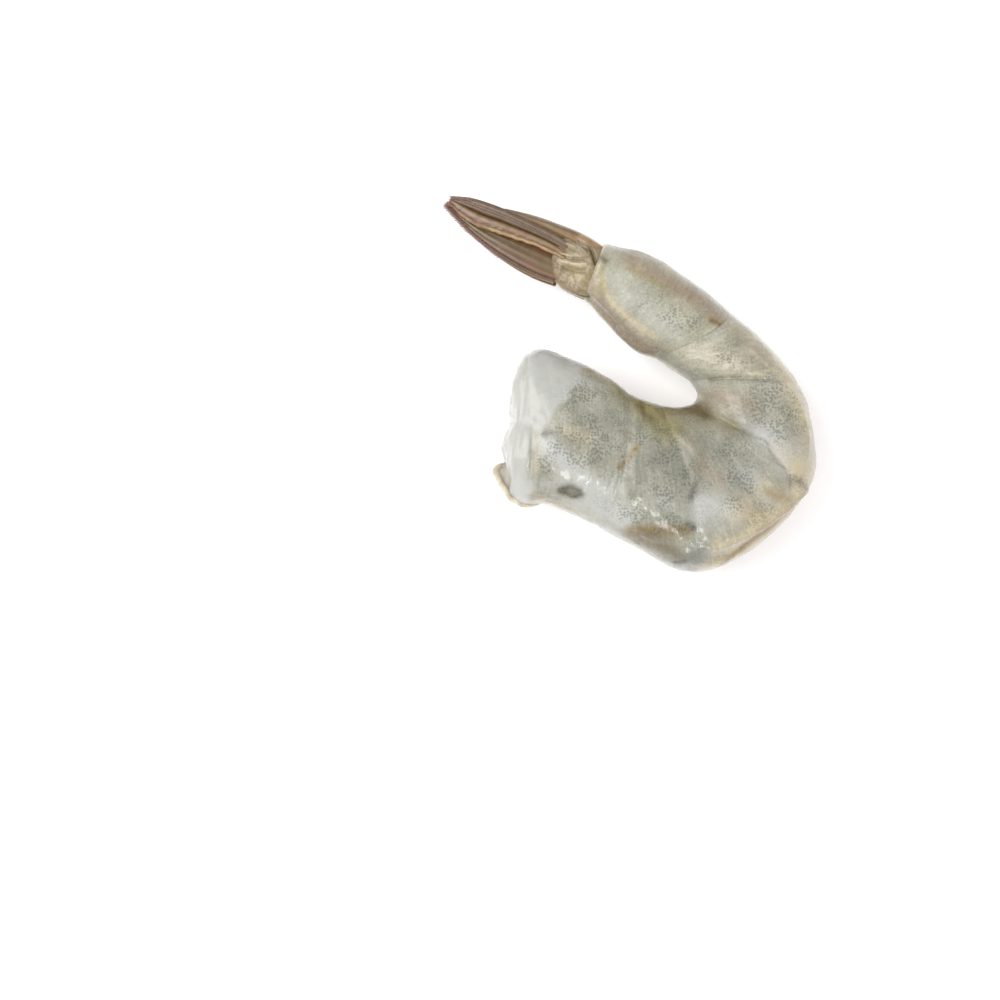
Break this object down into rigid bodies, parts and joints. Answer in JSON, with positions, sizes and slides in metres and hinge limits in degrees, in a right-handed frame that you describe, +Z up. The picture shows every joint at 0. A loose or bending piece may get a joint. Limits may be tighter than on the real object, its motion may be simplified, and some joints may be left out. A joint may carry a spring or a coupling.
{
  "type": "raw peeled shrimp",
  "caption": "Raw headless shrimp, peeled to its last segment with the tail fan left on, curled on its side.",
  "frame": {"origin": "middle of the bounding box at the level of the surface that it lies on", "axes": "+Z up out of the flank that shows, -X towards the cut neck, +Y towards the tail's last segment"},
  "size_m": [0.0598, 0.0608, 0.0183],
  "materials": {
    "flesh": "wet, translucent grey-white raw meat with fine dark dots",
    "tail_shell": "glossy translucent shell, pale grey-green with a lilac-grey back",
    "fan_horn": "thin ribbed horn, olive brown with dark edges",
    "fan_joint": "cream and amber jointed shell"
  },
  "bodies": {
    "root": {"peeled_meat": "flesh", "sixth_segment_shell": "tail_shell", "telson": "fan_horn", "upper_fan_base": "fan_joint", "upper_inner_blade": "fan_horn", "upper_outer_blade": "fan_horn", "lower_fan_base": "fan_joint", "lower_inner_blade": "fan_horn", "lower_outer_blade": "fan_horn"}
  },
  "joints": []
}
